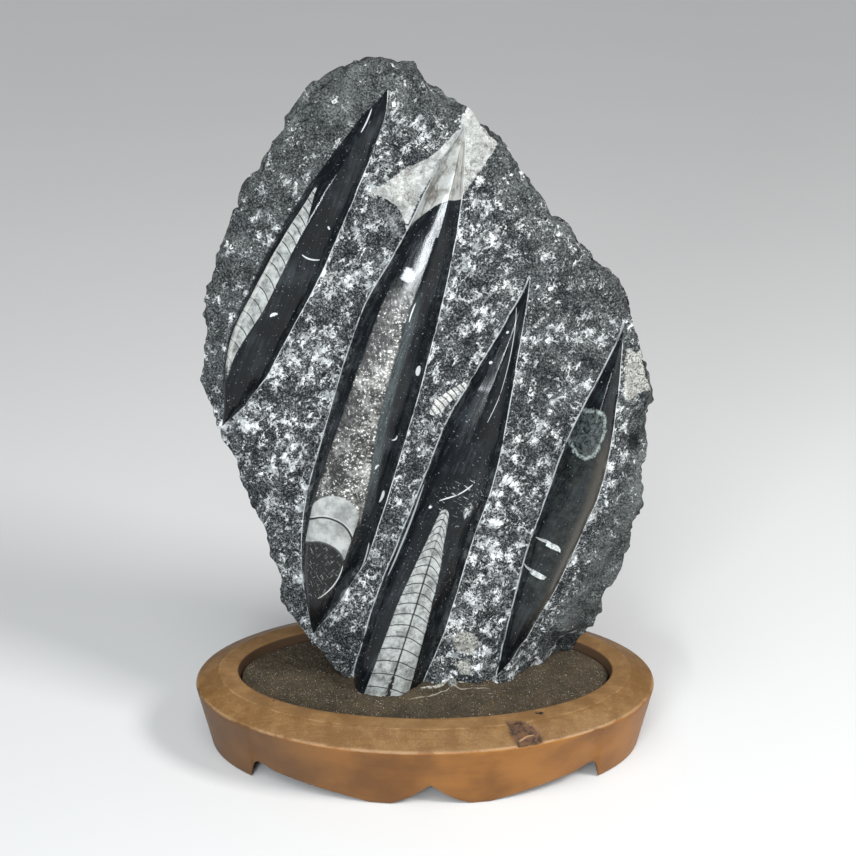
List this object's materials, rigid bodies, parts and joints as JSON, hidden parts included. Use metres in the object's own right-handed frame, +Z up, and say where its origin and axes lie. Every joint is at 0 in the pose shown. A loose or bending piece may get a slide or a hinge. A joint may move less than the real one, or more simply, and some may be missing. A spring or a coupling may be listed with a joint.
{
  "type": "orthoceras fossil slab on stand",
  "caption": "Dark limestone slab with polished spear-shaped orthoceras fossils standing proud of its chiselled face, set upright in an oval wooden display stand.",
  "frame": {"origin": "centre of the stand's bottom, on the surface that it stands on", "axes": "+Z up, the slab's carved face looks to -Y, +X to the right as seen from the front"},
  "size_m": [0.2614, 0.1498, 0.3819],
  "materials": {
    "fossil_limestone": "chiselled dark limestone with polished fossils",
    "brown_wood": "satin",
    "sandy_mortar": "gritty"
  },
  "bodies": {
    "root": {"fossil_slab": "fossil_limestone", "wooden_stand": "brown_wood", "mortar_bed": "sandy_mortar"}
  },
  "joints": []
}
